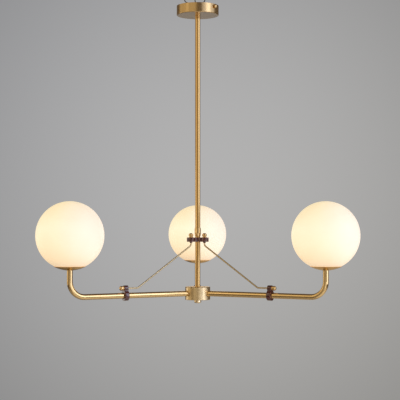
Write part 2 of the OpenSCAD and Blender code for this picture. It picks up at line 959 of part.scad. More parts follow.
module globe_carrier(i) {
    color(ceramic)
        at_globe(i)
            translate([0, 0, dish_pad_z])
                difference() {
                    rotate_extrude()
                        difference() {
                            union() {
                                square([carrier_base_r, carrier_floor]);
                                translate([0, carrier_floor - lap])
                                    square([carrier_r, carrier_collar_h + lap]);
                            }
                            translate([0, carrier_floor])
                                square([carrier_r - carrier_wall, carrier_collar_h + past]);
                        }
                    translate([0, 0, -past])
                        cylinder(r = thread_r, h = carrier_floor + 2 * past);
                }
}

// Stepped ceramic holder with two pin holes
module lamp_holder(i) {
    color(ceramic)
        at_globe(i)
            translate([0, 0, holder_z])
                difference() {
                    union() {
                        cylinder(d = holder_d, h = holder_step_h);
                        cylinder(d = holder_neck_d, h = holder_h);
                    }
                    for (side = [-1, 1])
                        translate([0, side * pin_pitch / 2, holder_h - pin_l - past])
                            cylinder(d = pin_d + 2 * pass_gap, h = pin_l + 2 * past);
                }
}

// Capsule bulb: base, body with a domed top, and two pins
module bulb(i) {
    color(opal)
        at_globe(i)
            translate([0, 0, bulb_z]) {
                difference() {
                    union() {
                        cylinder(d = bulb_d, h = bulb_l - bulb_d / 2);
                        translate([0, 0, bulb_l - bulb_d / 2])
                            sphere(d = bulb_d);
                    }
                    translate([0, 0, bulb_base_l])
                        bulb_groove();
                }
                for (side = [-1, 1])
                    translate([0, side * pin_pitch / 2, -pin_l])
                        cylinder(d = pin_d, h = pin_l + lap);
            }
}

// Shallow groove where the bulb's body leaves its base
module bulb_groove() {
    tube(bulb_d / 2 + past, bulb_d / 2 - groove_depth, 0, groove_h);
}

// Opal shell with a ground mouth and a threaded collar turned in
module globe(i) {
    collar_top = mouth_z + mouth_h;
    color(opal)
        at_globe(i)
            rotate_extrude()
                difference() {
                    union() {
                        difference() {
                            circle(r = globe_r, $fn = 4 * facets);
                            circle(r = globe_r - glass_t, $fn = 4 * facets);
                        }
                        intersection() {
                            circle(r = globe_r, $fn = 4 * facets);
                            translate([mouth_r, -globe_r])
                                square([mouth_collar_r - mouth_r, globe_r + collar_top]);
                        }
                    }
                    translate([-globe_r - past, -globe_r - past])
                        square([globe_r + past, 2 * (globe_r + past)]);
                    translate([-past, -globe_r - past])
                        square([mouth_r + past, globe_r + past]);
                    translate([-past, -globe_r - past])
                        square([globe_r, past + globe_r + mouth_z]);
                }
}

mounting_plate();
hanger_nipple();
hanger_nut();
earth_screw();
canopy();
side_screw(side_screw_azimuth);  // canopy_screw_right
side_screw(side_screw_azimuth + 180);  // canopy_screw_left
canopy_screw_nuts();
stem_leads();
upper_stem();
stem_coupler();
coupler_nipple();
lower_stem();
tie_yoke();
yoke_nuts();
rod_collars();
yoke_set_screw();
clip_nuts();
clip_set_screws();
hub_body();
hub_cover();
finial();
hub_nipple();
hub_lock_nut();
arm_lock_nuts();
arm_root_nipples();
arm_top_nipples();
splice_caps();
for (i = ARMS) {
    supply_lead(i);
    tie_rod(i);
    arm_clip(i);
    arm_tube(i);
    lamp_cable(i);
    dish(i);
    globe_carrier(i);
    lamp_holder(i);
    bulb(i);
    globe(i);
}
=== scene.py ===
import math

import bmesh
import bpy
from mathutils import Matrix, Vector


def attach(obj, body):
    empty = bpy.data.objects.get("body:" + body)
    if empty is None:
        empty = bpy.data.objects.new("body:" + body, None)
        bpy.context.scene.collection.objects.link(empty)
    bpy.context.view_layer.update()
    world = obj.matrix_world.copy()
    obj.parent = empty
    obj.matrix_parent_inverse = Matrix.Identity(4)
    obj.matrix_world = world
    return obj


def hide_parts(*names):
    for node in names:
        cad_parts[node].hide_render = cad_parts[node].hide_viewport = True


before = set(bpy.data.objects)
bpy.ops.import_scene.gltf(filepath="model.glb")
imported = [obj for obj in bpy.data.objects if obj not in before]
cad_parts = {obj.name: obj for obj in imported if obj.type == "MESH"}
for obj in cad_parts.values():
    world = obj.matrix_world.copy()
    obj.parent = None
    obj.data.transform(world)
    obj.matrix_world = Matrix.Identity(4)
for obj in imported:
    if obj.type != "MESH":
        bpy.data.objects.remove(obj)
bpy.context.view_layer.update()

# Looks of the branch chandelier: camera, leads, light, finishes and finer pieces.
# Metres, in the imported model's frame: +Z up, the ceiling plane at z = 0, the front at -Y.

SCENE = bpy.context.scene
MM = 0.001
WELD = 0.002 * MM
SHARP_ANGLE = 32
UPSIDE_DOWN = Matrix.Rotation(math.pi, 4, "X")

# ---- Sizes, as in the construction ----

ARM_AZIMUTHS = {1: 90, 2: 210, 3: 330}
ARM_REACH = 322.5 * MM
ARM_Z = -669 * MM
ARM_R = 6.5 * MM
ROD_R = 1.75 * MM
ROD_RISE = 16.5 * MM
STEM_R = 6 * MM
THREAD_GAP = 0.05 * MM

CANOPY_R = 49 * MM
SIDE_SCREW_AZIMUTH = -38
SIDE_SCREW_Z = -6 * MM
SIDE_SCREW_R = 1.95 * MM
SIDE_SCREW_TIP_R = 42 * MM
SIDE_HEAD_R = 4.25 * MM
SIDE_HEAD_L = 6 * MM
SIDE_HEAD_GAP = 0.3 * MM
KNURL_TEETH = 32
KNURL_DEPTH = 0.28 * MM

JOINT_Z = -526.5 * MM
COUPLER_HALF = 9.5 * MM
COUPLER_END_R = 6.75 * MM
COUPLER_SWELL = 0.5 * MM
COUPLER_EDGE = 0.3 * MM

YOKE_Z = -544.6 * MM
YOKE_T = 10 * MM
YOKE_ROD_R = 18 * MM
YOKE_LOBE_R = ROD_R + 8 * MM
YOKE_WAIST_R = STEM_R + 5 * MM
COLLAR_R = 3.2 * MM
COLLAR_H = 2.6 * MM
COLLAR_EDGE = 0.5 * MM

CLIP_REACH = 187 * MM
CLIP_T = 10 * MM
CLIP_ARM_R = ARM_R + 5 * MM
CLIP_ROD_R = ROD_R + 4.75 * MM
CLIP_WAIST_R = 2.4 * MM
CLIP_ARM_WALL = 5 * MM
WOOD_BEVEL = 0.5 * MM

NUT_R = 5.25 * MM
NUT_H = 10 * MM
SET_SCREW_R = 1.95 * MM
SET_SCREW_GAP = 0.25 * MM

HUB_BOTTOM_Z = -684 * MM
FINIAL_R = 8.25 * MM
FINIAL_H = 8.5 * MM

GLOBE_R = 75 * MM
GLOBE_Z = -534 * MM
BULB_Z = -50 * MM
BULB_R = 8 * MM
BULB_L = 52 * MM
BULB_BASE_L = 14 * MM
BULB_GROOVE_H = 1.2 * MM
BULB_GROOVE_DEPTH = 0.6 * MM
PIN_PITCH = 9 * MM
PIN_R = 0.8 * MM
PIN_L = 12 * MM
PIN_SUNK = 1 * MM

LEAD_R = 1.1 * MM
LEAD_STRIP = 8 * MM
LEAD_WIRE_R = 0.7 * MM
LEAD_WIRE_SUNK = 1 * MM
LEAD_WIRE_CHAMFER = 0.15 * MM
LEAD_ROUTE_STEPS = 4
LEAD_ROUTES = {  # millimetres, from the nipple's mouth to the end of the sleeve
    1: [(-1.3, 0.75, 0), (-1.3, 0.75, 2.5), (-2, 0.9, 4.6), (-4, 1.2, 6.2), (-7.5, 1.6, 7.1),
        (-12, 2, 7.5), (-17, 2.3, 7.7), (-22, 2.5, 8.1), (-26.3, 2.6, 9.3), (-29.2, 2.6, 11.6),
        (-30.6, 2.6, 15), (-31, 2.6, 20), (-31, 2.6, 27), (-30.8, 2.6, 35), (-30.5, 2.6, 44)],
    2: [(0, -1.5, 0), (0, -1.5, 2.5), (-0.9, -1.7, 4.8), (-3, -2, 6.8), (-5, -2.3, 8.9),
        (-6.1, -2.6, 11.5), (-6.4, -2.8, 15), (-6.5, -3, 20), (-6.5, -3.2, 26),
        (-6.4, -3.3, 34), (-6.2, -3.4, 43), (-6, -3.4, 52)],
    3: [(1.3, 0.75, 0), (1.3, 0.75, 2.5), (2.2, 0.9, 4.8), (4.6, 1.3, 6.6), (8, 2, 7.6),
        (11.8, 2.5, 8.7), (14.8, 2.8, 10.7), (16.4, 3, 13.6), (17, 3.1, 17.5), (17.2, 3.2, 23),
        (17.4, 3.2, 30), (17.5, 3.2, 38), (17.6, 3.2, 46)],
}


# ---- Camera ----

CAMERA_PLACE = (-0.0072, -2.659, -0.5138)
CAMERA_PITCH = 91.318
CAMERA_YAW = -0.27
CAMERA_LENS = 102.92
SENSOR_WIDTH = 36
CLIP_NEAR, CLIP_FAR = 0.05, 60


def make_camera():
    data = bpy.data.cameras.new("photo_camera")
    data.sensor_width = SENSOR_WIDTH
    data.lens = CAMERA_LENS
    data.clip_start = CLIP_NEAR
    data.clip_end = CLIP_FAR
    camera = bpy.data.objects.new("photo_camera", data)
    SCENE.collection.objects.link(camera)
    camera.location = CAMERA_PLACE
    camera.rotation_euler = (math.radians(CAMERA_PITCH), 0, math.radians(CAMERA_YAW))
    SCENE.camera = camera


make_camera()


# ---- Node helpers ----

def new_material(name):
    mat = bpy.data.materials.new(name)
    mat.use_nodes = True
    return mat, mat.node_tree, mat.node_tree.nodes["Principled BSDF"]


def node(tree, kind, **settings):
    made = tree.nodes.new(kind)
    for key, value in settings.items():
        setattr(made, key, value)
    return made


def coordinate(tree, kind):
    return node(tree, "ShaderNodeTexCoord").outputs[kind]


def object_coords(tree, scale=(1, 1, 1), rotation=(0, 0, 0)):
    mapping = node(tree, "ShaderNodeMapping")
    mapping.inputs["Scale"].default_value = scale
    mapping.inputs["Rotation"].default_value = rotation
    tree.links.new(coordinate(tree, "Object"), mapping.inputs["Vector"])
    return mapping.outputs["Vector"]


def z_of(tree, vector):
    split = node(tree, "ShaderNodeSeparateXYZ")
    tree.links.new(vector, split.inputs["Vector"])
    return split.outputs["Z"]


def dot(tree, vector, along):
    made = node(tree, "ShaderNodeVectorMath", operation="DOT_PRODUCT")
    made.inputs[1].default_value = along
    tree.links.new(vector, made.inputs[0])
    return made.outputs["Value"]


def maths(tree, operation, a, b):
    made = node(tree, "ShaderNodeMath", operation=operation)
    for socket, value in zip(made.inputs, (a, b)):
        if isinstance(value, bpy.types.NodeSocket):
            tree.links.new(value, socket)
        else:
            socket.default_value = value
    return made.outputs["Value"]


def noise(tree, vector, scale=1.0, detail=3.0, roughness=0.55, distortion=0.0):
    made = node(tree, "ShaderNodeTexNoise")
    made.inputs["Scale"].default_value = scale
    made.inputs["Detail"].default_value = detail
    made.inputs["Roughness"].default_value = roughness
    made.inputs["Distortion"].default_value = distortion
    tree.links.new(vector, made.inputs["Vector"])
    return made.outputs["Fac"]


def ramp(tree, factor, stops):
    made = node(tree, "ShaderNodeValToRGB")
    elements = made.color_ramp.elements
    while len(elements) < len(stops):
        elements.new(0.5)
    for element, (place, colour) in zip(elements, stops):
        element.position = place
        element.color = (*colour, 1)
    tree.links.new(factor, made.inputs["Fac"])
    return made.outputs["Color"]


def map_range(tree, value, low, high, to_low=0, to_high=1):
    made = node(tree, "ShaderNodeMapRange")
    limits = {"From Min": low, "From Max": high, "To Min": to_low, "To Max": to_high}
    for key, number in limits.items():
        made.inputs[key].default_value = number
    tree.links.new(value, made.inputs["Value"])
    return made.outputs["Result"]


def mix(tree, factor, a, b, blend="MIX"):
    """Mix of two colours. The node's colour sockets are its inputs 6 and 7 and its output 2."""
    made = node(tree, "ShaderNodeMix", data_type="RGBA", blend_type=blend)
    for socket, value in ((made.inputs[0], factor), (made.inputs[6], a), (made.inputs[7], b)):
        if isinstance(value, bpy.types.NodeSocket):
            tree.links.new(value, socket)
        elif isinstance(value, (int, float)):
            socket.default_value = value
        else:
            socket.default_value = (*value, 1)
    return made.outputs[2]


def bump(tree, bsdf, height, depth_mm):
    made = node(tree, "ShaderNodeBump")
    made.inputs["Distance"].default_value = depth_mm * MM
    made.inputs["Strength"].default_value = 1
    tree.links.new(height, made.inputs["Height"])
    tree.links.new(made.outputs["Normal"], bsdf.inputs["Normal"])


# ---- Finishes ----

def brass(name, light, dark, rough, brush, rotation=(0, 0, 0), brush_bump=0.004, coat=0.0,
          underside_reflection=None):
    """Brass brushed along one direction: brush has the scale of the marks along x, y and z.

    light and dark are its tones, brush_bump the depth of the marks in millimetres, and underside
    the painted reflection on faces that look down: a greyer tone that stands in for the grey
    surroundings they reflect at a grazing angle.
    """
    mat, tree, bsdf = new_material(name)
    marks = noise(tree, object_coords(tree, brush, rotation), detail=4, roughness=0.65)
    clouds = noise(tree, object_coords(tree), scale=26, detail=3, distortion=0.6)
    tone = ramp(tree, marks, [(0.28, dark), (0.72, light)])
    faded = mix(tree, map_range(tree, clouds, 0.3, 0.75, 0, 0.35), tone, dark)
    # Painted reflection: faces that look down take a greyer tone, for the grey surroundings they
    # reflect.
    if underside_reflection:
        facing_down = map_range(tree, z_of(tree, coordinate(tree, "Normal")), -0.7, -0.95)
        faded = mix(tree, facing_down, faded, mix(tree, clouds, underside_reflection, light))
    tree.links.new(faded, bsdf.inputs["Base Color"])
    worn = map_range(tree, marks, 0.25, 0.8, 0.8 * rough, 1.25 * rough)
    tree.links.new(worn, bsdf.inputs["Roughness"])
    bsdf.inputs["Metallic"].default_value = 1
    bsdf.inputs["Coat Weight"].default_value = coat
    bsdf.inputs["Coat Roughness"].default_value = 0.1
    bump(tree, bsdf, marks, brush_bump)
    return mat


def rosewood():
    """Oiled dark red wood with a mottled figure and a thin gloss."""
    mat, tree, bsdf = new_material("rosewood_gloss")
    coords = object_coords(tree)
    figure = noise(tree, coords, scale=210, detail=5, roughness=0.62, distortion=1.4)
    grain = noise(tree, object_coords(tree, (1500, 1500, 130)), detail=4)
    tone = ramp(tree, figure, [(0.30, (0.028, 0.003, 0.004)), (0.48, (0.080, 0.006, 0.008)),
                               (0.62, (0.140, 0.018, 0.024)), (0.80, (0.21, 0.050, 0.058))])
    pores = ramp(tree, grain, [(0.36, (0.45, 0.40, 0.40)), (0.55, (1, 1, 1))])
    tree.links.new(mix(tree, 0.7, tone, pores, "MULTIPLY"), bsdf.inputs["Base Color"])
    tree.links.new(map_range(tree, grain, 0.3, 0.7, 0.38, 0.24), bsdf.inputs["Roughness"])
    bsdf.inputs["Specular IOR Level"].default_value = 0.4
    bsdf.inputs["Coat Weight"].default_value = 0.9
    bsdf.inputs["Coat Roughness"].default_value = 0.07
    bsdf.inputs["Coat IOR"].default_value = 1.7
    bump(tree, bsdf, grain, 0.02)
    return mat


def zinc():
    """Zinc plating with faint crystals."""
    mat, tree, bsdf = new_material("zinc_plate")
    spangle = node(tree, "ShaderNodeTexVoronoi")
    spangle.inputs["Scale"].default_value = 420
    tree.links.new(object_coords(tree), spangle.inputs["Vector"])
    clouds = noise(tree, object_coords(tree), scale=60, detail=4)
    tone = ramp(tree, clouds, [(0.3, (0.42, 0.42, 0.41)), (0.7, (0.60, 0.60, 0.61))])
    crystal = mix(tree, 0.12, tone, spangle.outputs["Color"], "OVERLAY")
    tree.links.new(crystal, bsdf.inputs["Base Color"])
    tree.links.new(map_range(tree, clouds, 0.3, 0.7, 0.30, 0.45), bsdf.inputs["Roughness"])
    bsdf.inputs["Metallic"].default_value = 1
    bump(tree, bsdf, clouds, 0.01)
    return mat


OPAL_GLOW = [  # (height from the globe's foot to its top, colour)
    (0.03, (0.56, 0.40, 0.25)), (0.16, (0.74, 0.54, 0.32)), (0.36, (0.79, 0.64, 0.42)),
    (0.60, (0.79, 0.69, 0.49)), (0.97, (0.73, 0.60, 0.36))]
# Painted highlight: the paler glow the globes get on the side that faces the key light.
OPAL_PAINTED_KEY_HIGHLIGHT = (0.71, 0.58, 0.46)
TOWARDS_KEY = (0.86, -0.47, 0.2)


def opal():
    """Lit opal glass: the glow is warmer and dimmer at its foot, and a painted highlight makes it
    paler on the side that faces the key light.
    """
    mat, tree, bsdf = new_material("opal_lit")
    height = map_range(tree, z_of(tree, coordinate(tree, "Object")),
                       GLOBE_Z - GLOBE_R, GLOBE_Z + GLOBE_R)
    glow = ramp(tree, height, OPAL_GLOW)
    # Painted highlight: towards the key light the glow turns paler.
    painted_key_highlight = map_range(tree, dot(tree, coordinate(tree, "Normal"), TOWARDS_KEY), 0.2, 0.95)
    glow = mix(tree, painted_key_highlight, glow, OPAL_PAINTED_KEY_HIGHLIGHT)
    swirl = noise(tree, object_coords(tree), scale=13, detail=2, distortion=0.8)
    milk = ramp(tree, swirl, [(0.3, (0.975, 0.97, 0.955)), (0.7, (1, 1, 1))])
    tree.links.new(mix(tree, 1.0, glow, milk, "MULTIPLY"), bsdf.inputs["Emission Color"])
    bsdf.inputs["Emission Strength"].default_value = 1
    body = ramp(tree, swirl, [(0.3, (0.66, 0.62, 0.55)), (0.7, (0.70, 0.66, 0.59))])
    tree.links.new(body, bsdf.inputs["Base Color"])
    fine = noise(tree, object_coords(tree), scale=900, detail=2)
    tree.links.new(map_range(tree, fine, 0.3, 0.7, 0.42, 0.5), bsdf.inputs["Roughness"])
    bsdf.inputs["Specular IOR Level"].default_value = 0.35
    bump(tree, bsdf, fine, 0.004)
    return mat


def plain(name, low, high, rough, scale, glow=0.0, coat=0.0, metal=0):
    """Moulded, glazed or drawn surface with a fine grain and a slight change of tone."""
    mat, tree, bsdf = new_material(name)
    grain = noise(tree, object_coords(tree), scale=scale, detail=4)
    clouds = noise(tree, object_coords(tree), scale=scale / 9, detail=2)
    tone = ramp(tree, clouds, [(0.3, low), (0.7, high)])
    tree.links.new(tone, bsdf.inputs["Base Color"])
    worn = map_range(tree, grain, 0.3, 0.7, rough - 0.05, rough + 0.06)
    tree.links.new(worn, bsdf.inputs["Roughness"])
    bsdf.inputs["Metallic"].default_value = metal
    bsdf.inputs["Coat Weight"].default_value = coat
    if glow:
        tree.links.new(tone, bsdf.inputs["Emission Color"])
        bsdf.inputs["Emission Strength"].default_value = glow
    bump(tree, bsdf, grain, 0.01)
    return mat


UPRIGHT_MARKS = (1300, 1300, 12)
TURNED_MARKS = (60, 60, 1600)
# The brass tones are set part by part. They are partly the parts' own finishes and partly painted
# light and shade: each part is made paler, darker or more orange to match how it catches the
# lights.
STEM_BRASS = brass("stem_brass", (0.82, 0.55, 0.23), (0.70, 0.43, 0.14), 0.14, (1400, 1400, 9),
                   brush_bump=0.0002, coat=1.0)
HUB_BRASS = brass("hub_brass", (0.92, 0.76, 0.49), (0.76, 0.57, 0.31), 0.31, UPRIGHT_MARKS,
                  brush_bump=0.003)
# The canopy's faces that look down get a painted reflection: a greyer tone.
CANOPY_BRASS = brass("canopy_brass", (0.76, 0.57, 0.31), (0.55, 0.37, 0.17), 0.27, UPRIGHT_MARKS,
                     brush_bump=0.005, underside_reflection=(0.57, 0.455, 0.38))
ARM_BRASS = {i: brass(f"arm_brass_{i}", (0.84, 0.61, 0.29), (0.74, 0.51, 0.22), 0.13,
                      (9, 1400, 1400), rotation=(0, 0, -math.radians(a)), brush_bump=0.0002,
                      coat=1.0)
             for i, a in ARM_AZIMUTHS.items()}
DISH_BRASS = brass("dish_brass", (0.80, 0.51, 0.17), (0.67, 0.40, 0.11), 0.22, (160, 160, 1100))
ROD_BRASS = brass("rod_brass", (0.80, 0.68, 0.45), (0.70, 0.57, 0.34), 0.36, (700, 700, 700),
                  brush_bump=0.001)
TURNED_BRASS = brass("turned_brass", (0.90, 0.67, 0.36), (0.78, 0.52, 0.23), 0.15, TURNED_MARKS)
KNOB_BRASS = brass("knob_brass", (0.92, 0.78, 0.55), (0.80, 0.62, 0.38), 0.09, TURNED_MARKS,
                   brush_bump=0.0005)
ROSEWOOD = rosewood()
ZINC = zinc()
OPAL = opal()
CAPSULE = plain("bulb_frosted", (0.96, 0.80, 0.52), (1.0, 0.88, 0.64), 0.35, 700, glow=1.0)
CERAMIC = plain("holder_glaze", (0.80, 0.78, 0.73), (0.86, 0.85, 0.81), 0.25, 500, coat=0.4)
CARRIER = plain("carrier_resin_white", (0.74, 0.72, 0.67), (0.80, 0.79, 0.75), 0.48, 600)
SPLICE = plain("splice_resin_grey", (0.66, 0.64, 0.58), (0.74, 0.72, 0.66), 0.50, 600)
SLEEVE = plain("lead_sleeve_black", (0.012, 0.012, 0.014), (0.030, 0.030, 0.034), 0.45, 900)
COPPER = plain("lead_wire_copper", (0.62, 0.30, 0.16), (0.80, 0.42, 0.24), 0.30, 900, metal=1)


def paint(names, mat):
    for name in names:
        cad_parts[name].data.materials[0] = mat


paint(["upper_stem", "lower_stem"], STEM_BRASS)
paint(["canopy"], CANOPY_BRASS)
paint(["hub_body", "hub_cover"], HUB_BRASS)
paint(["earth_screw", "stem_coupler", "yoke_nuts", "clip_nuts", "finial",
       "canopy_screw_right", "canopy_screw_left"], TURNED_BRASS)
paint(["mounting_plate", "hanger_nipple", "hanger_nut", "canopy_screw_nuts", "coupler_nipple",
       "yoke_set_screw", "clip_set_screws", "hub_nipple", "hub_lock_nut", "arm_lock_nuts",
       "arm_root_nipples", "arm_top_nipples"], ZINC)
paint(["tie_yoke", "rod_collars"], ROSEWOOD)
paint(["splice_caps"], SPLICE)
paint(["stem_leads"], SLEEVE)
for i in ARM_AZIMUTHS:
    paint([f"arm_tube_{i}"], ARM_BRASS[i])
    paint([f"dish_{i}"], DISH_BRASS)
    paint([f"tie_rod_{i}"], ROD_BRASS)
    paint([f"arm_clip_{i}"], ROSEWOOD)
    paint([f"lamp_cable_{i}", f"supply_lead_{i}"], SLEEVE)
    paint([f"globe_{i}"], OPAL)
    paint([f"lamp_holder_{i}"], CERAMIC)
    paint([f"globe_carrier_{i}"], CARRIER)


# ---- Mesh helpers ----

def mesh_from(name, bm):
    bmesh.ops.recalc_face_normals(bm, faces=bm.faces)
    mesh = bpy.data.meshes.new(name)
    bm.to_mesh(mesh)
    bm.free()
    mesh.shade_smooth()
    mesh.set_sharp_from_angle(angle=math.radians(SHARP_ANGLE))
    return mesh


def add_piece(name, bm, mat, body, slot, *replaced):
    mesh = mesh_from(name, bm)
    mesh.materials.append(mat)
    piece = bpy.data.objects.new(name, mesh)
    SCENE.collection.objects.link(piece)
    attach(piece, body)
    if replaced:
        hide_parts(*replaced)
    return piece


def turned(bm, profile, place=Matrix(), sides=96):
    """Turns a profile about Z: (radius, height), or (radius, height, True) where it is knurled."""
    rings = []
    for radius, height, *knurled in profile:
        if radius < 1e-7:
            rings.append([bm.verts.new(place @ Vector((0, 0, height)))])
            continue
        ring = []
        for s in range(sides):
            angle = 2 * math.pi * s / sides
            cut = KNURL_DEPTH * (0.5 + 0.5 * math.cos(KNURL_TEETH * angle)) if knurled else 0
            ring.append(bm.verts.new(place @ Vector(((radius - cut) * math.cos(angle),
                                                     (radius - cut) * math.sin(angle), height))))
        rings.append(ring)
    for low, high in zip(rings, rings[1:]):
        for s in range(sides):
            t = (s + 1) % sides
            corners = [low[s % len(low)], low[t % len(low)],
                       high[t % len(high)], high[s % len(high)]]
            bm.faces.new(list(dict.fromkeys(corners)))


def dome(radius, low, high, steps=10):
    """Profile points of a rounded end, from the side up to the axis."""
    points = [(radius * math.cos(math.radians(90 * k / steps)),
               low + (high - low) * math.sin(math.radians(90 * k / steps))) for k in range(steps)]
    return points + [(0, high)]


def spun(azimuth=0, reach=0.0, z=0.0, outward=False):
    """Place of a turned piece at an azimuth and reach. Its axis is up, or outward from the stem.

    Heights of an outward piece count from the reach.
    """
    place = Matrix.Rotation(math.radians(azimuth), 4, "Z") @ Matrix.Translation((reach, 0, z))
    return place @ Matrix.Rotation(math.radians(90), 4, "Y") if outward else place


def polar(reach, azimuth):
    angle = math.radians(azimuth)
    return Vector((reach * math.cos(angle), reach * math.sin(angle)))


def direction(v):
    return math.degrees(math.atan2(v.y, v.x))


def arc(centre, radius, start, sweep, steps):
    """Points of an arc without its last one."""
    return [centre + polar(radius, start + sweep * k / steps) for k in range(steps)]


def plate(name, outline, holes, thickness):
    """Flat wood plate in the XY plane, centred on it, with round holes and softened edges."""
    curve = bpy.data.curves.new(name, "CURVE")
    curve.dimensions = "2D"
    curve.fill_mode = "BOTH"
    curve.extrude = thickness / 2 - WOOD_BEVEL
    curve.bevel_depth = WOOD_BEVEL
    curve.bevel_resolution = 3
    curve.offset = -WOOD_BEVEL
    loops = [outline] + [arc(centre, radius, 0, -360, 64) for centre, radius in holes]
    for loop in loops:
        spline = curve.splines.new("POLY")
        spline.points.add(len(loop) - 1)
        for point, place in zip(spline.points, loop):
            point.co = (place.x, place.y, 0, 1)
        spline.use_cyclic_u = True
    shape = bpy.data.objects.new(name, curve)
    SCENE.collection.objects.link(shape)
    graph = bpy.context.evaluated_depsgraph_get()
    mesh = bpy.data.meshes.new_from_object(shape.evaluated_get(graph))
    bpy.data.objects.remove(shape)
    bpy.data.curves.remove(curve)
    bm = bmesh.new()
    bm.from_mesh(mesh)
    bpy.data.meshes.remove(mesh)
    bmesh.ops.remove_doubles(bm, verts=bm.verts, dist=WELD)
    return bm


# ---- Supply leads ----

def smooth_route(points):
    """Catmull-Rom curve through the points."""
    padded = [points[0] * 2 - points[1], *points, points[-1] * 2 - points[-2]]
    route = []
    for k in range(1, len(padded) - 2):
        before, start, end, after = padded[k - 1:k + 3]
        for s in range(LEAD_ROUTE_STEPS):
            t = s / LEAD_ROUTE_STEPS
            route.append(0.5 * ((2 * start) + (end - before) * t
                                + (2 * before - 5 * start + 4 * end - after) * t ** 2
                                + (3 * start - before - 3 * end + after) * t ** 3))
    return route + [points[-1]]


def supply_lead(i):
    """Black sleeve along its route, with the bare copper wire standing out of its end."""
    route = smooth_route([Vector(p) * MM for p in LEAD_ROUTES[i]])
    curve = bpy.data.curves.new(f"supply_lead_sleeve_{i}", "CURVE")
    curve.dimensions = "3D"
    curve.bevel_depth = LEAD_R
    curve.bevel_resolution = 5
    curve.use_fill_caps = True
    spline = curve.splines.new("POLY")
    spline.points.add(len(route) - 1)
    for point, place in zip(spline.points, route):
        point.co = (*place, 1)
    sleeve = bpy.data.objects.new(f"supply_lead_sleeve_{i}", curve)
    SCENE.collection.objects.link(sleeve)
    curve.materials.append(SLEEVE)
    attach(sleeve, "fixture")
    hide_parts(f"supply_lead_{i}")
    along = (route[-1] - route[-2]).normalized()
    start = Matrix.Translation(route[-1] - along * LEAD_WIRE_SUNK)
    length = LEAD_STRIP + LEAD_WIRE_SUNK
    bm = bmesh.new()
    turned(bm, [(0, 0), (LEAD_WIRE_R, 0), (LEAD_WIRE_R, length - LEAD_WIRE_CHAMFER),
                (LEAD_WIRE_R - LEAD_WIRE_CHAMFER, length), (0, length)],
           start @ along.to_track_quat("Z", "Y").to_matrix().to_4x4(), sides=24)
    tip = add_piece(f"supply_lead_wire_{i}", bm, COPPER, "fixture", "lead_sleeve")


for i in ARM_AZIMUTHS:
    supply_lead(i)


# ---- Brace ----

def trefoil_outline():
    """Three round lobes joined by hollow flanks that come down to the waist radius."""
    drop = YOKE_LOBE_R - YOKE_WAIST_R
    notch_out = (YOKE_ROD_R ** 2 - drop ** 2) / (YOKE_ROD_R + 2 * drop)
    notch_r = notch_out - YOKE_WAIST_R
    outline = []
    for azimuth in ARM_AZIMUTHS.values():
        lobe, following = polar(YOKE_ROD_R, azimuth), polar(YOKE_ROD_R, azimuth + 120)
        before, after = polar(notch_out, azimuth - 60), polar(notch_out, azimuth + 60)
        start, end = direction(before - lobe), direction(after - lobe)
        outline += arc(lobe, YOKE_LOBE_R, start, (end - start) % 360, 40)
        start, end = direction(lobe - after), direction(following - after)
        outline += arc(after, notch_r, start, -((start - end) % 360), 20)
    return outline


def peanut_outline():
    """A big round end about the arm and a small one about the rod, with a hollow waist."""
    to_big, to_small = CLIP_ARM_R + CLIP_WAIST_R, CLIP_ROD_R + CLIP_WAIST_R
    waist_y = (ROD_RISE ** 2 + to_big ** 2 - to_small ** 2) / (2 * ROD_RISE)
    waist = Vector((math.sqrt(to_big ** 2 - waist_y ** 2), waist_y))
    other_waist = Vector((-waist.x, waist.y))
    rod = Vector((0, ROD_RISE))
    low = direction(waist - rod)
    high = direction(waist)
    return (arc(rod, CLIP_ROD_R, low, 180 - 2 * low, 40)
            + arc(other_waist, CLIP_WAIST_R, -low, -high + low, 12)
            + arc(Vector((0, 0)), CLIP_ARM_R, 180 - high, 180 + 2 * high, 56)
            + arc(waist, CLIP_WAIST_R, 180 + high, low - high, 12))


def make_yoke():
    holes = [(Vector((0, 0)), STEM_R + THREAD_GAP)]
    holes += [(polar(YOKE_ROD_R, a), ROD_R + THREAD_GAP) for a in ARM_AZIMUTHS.values()]
    bm = plate("yoke", trefoil_outline(), holes, YOKE_T)
    bm.transform(Matrix.Translation((0, 0, YOKE_Z)))
    add_piece("yoke_trefoil", bm, ROSEWOOD, "fixture", "rosewood", "tie_yoke")


def make_clip(i, azimuth):
    holes = [(Vector((0, 0)), ARM_R + THREAD_GAP), (Vector((0, ROD_RISE)), ROD_R + THREAD_GAP)]
    bm = plate("clip", peanut_outline(), holes, CLIP_T)
    upright = Matrix(((0, 0, 1, 0), (1, 0, 0, 0), (0, 1, 0, 0), (0, 0, 0, 1)))
    bm.transform(spun(azimuth, CLIP_REACH, ARM_Z) @ upright)
    add_piece(f"clip_peanut_{i}", bm, ROSEWOOD, "fixture", "rosewood", f"arm_clip_{i}")


def nut_profile():
    """Domed nut: a thin flange, a neck that flares out, and a head with a rounded end."""
    flange_r, neck_r, head_r = NUT_R - 0.35 * MM, NUT_R - 1.2 * MM, NUT_R - 0.05 * MM
    edge, flange_top, lip_top, neck_z = 0.2 * MM, 1.2 * MM, 1.45 * MM, 1.5 * MM
    neck_top, shoulder, dome_z = 2.7 * MM, 4.1 * MM, 6.2 * MM
    flare_steps = 8
    profile = [(0, 0), (flange_r - edge, 0), (flange_r, edge), (flange_r, flange_top),
               (flange_r - 0.25 * MM, lip_top), (neck_r, neck_z), (neck_r, neck_top)]
    for k in range(1, flare_steps + 1):
        angle = math.radians(90 * k / flare_steps)
        profile.append((neck_r + (head_r - neck_r) * math.sin(angle),
                        shoulder - (shoulder - neck_top) * math.cos(angle)))
    return profile + dome(head_r, dome_z, NUT_H, 12)


